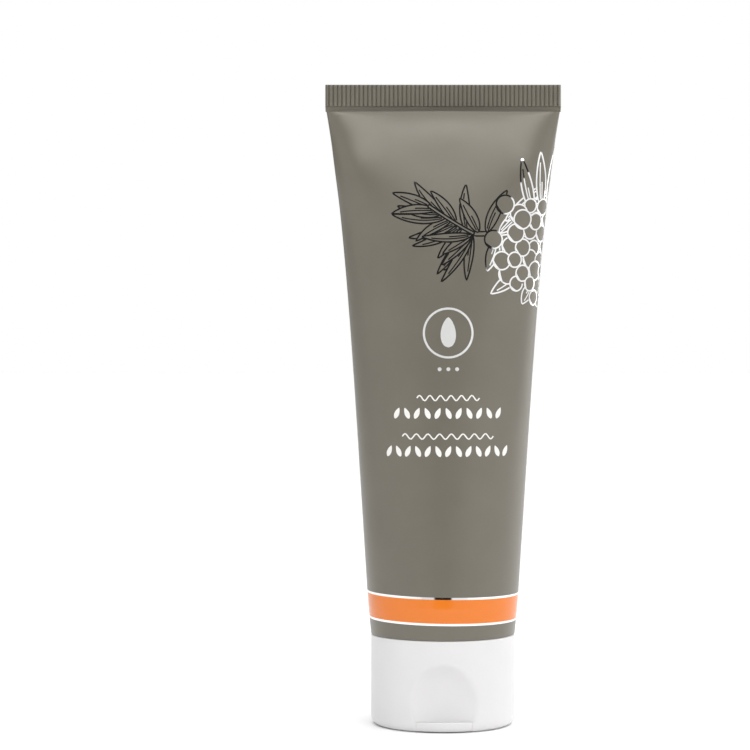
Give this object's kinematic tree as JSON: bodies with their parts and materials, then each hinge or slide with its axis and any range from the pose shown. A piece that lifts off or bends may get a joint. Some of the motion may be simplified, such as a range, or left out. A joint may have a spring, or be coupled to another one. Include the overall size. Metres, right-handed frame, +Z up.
{
  "type": "shaving cream tube",
  "caption": "Squeeze tube with a flat ridged crimp, standing on a white flip-top screw cap with a finger recess; sealed and filled with shaving cream.",
  "frame": {"origin": "centre of the cap's round standing rim, on the table", "axes": "+Z up from the cap to the crimp, X along the crimp, -Y the front with the finger recess and the print"},
  "size_m": [0.055, 0.035, 0.1494],
  "materials": {
    "sleeve_grey": "satin",
    "head_white": "satin",
    "insert_white": "satin",
    "foil_silver": "satin",
    "cream_white": "satin",
    "cap_white": "satin",
    "lid_white": "satin",
    "hinge_white": "satin"
  },
  "bodies": {
    "cap": {"cap_body": "cap_white", "hinge_film": "hinge_white", "hinge_strap_left": "hinge_white", "hinge_strap_right": "hinge_white"},
    "lid": {"cap_lid": "lid_white"},
    "seals": {"seal_foil": "foil_silver", "shoulder_insert": "insert_white"},
    "tube": {"tube_sleeve": "sleeve_grey", "tube_head": "head_white", "shaving_cream": "cream_white"}
  },
  "joints": [
    {"name": "lid_flip", "type": "hinge", "parent": "cap", "child": "lid", "pos_m": [0, 0.016, 0.00255], "axis": [1, 0, 0], "range_deg": [0, 150], "deforming": ["hinge_film", "hinge_strap_left", "hinge_strap_right"]},
    {"name": "neck_travel", "type": "slide", "parent": "cap", "child": "seals", "axis": [0, 0, 1], "range_m": [0, 0.0112]},
    {"name": "tube_unscrew", "type": "hinge", "parent": "seals", "child": "tube", "pos_m": [0, 0, 0.0218], "axis": [0, 0, 1], "range_deg": [0, 1260.1]}
  ],
  "couplings": [
    {"joint": "tube_unscrew", "follows": "neck_travel", "rad_per_m": 1963.5}
  ]
}
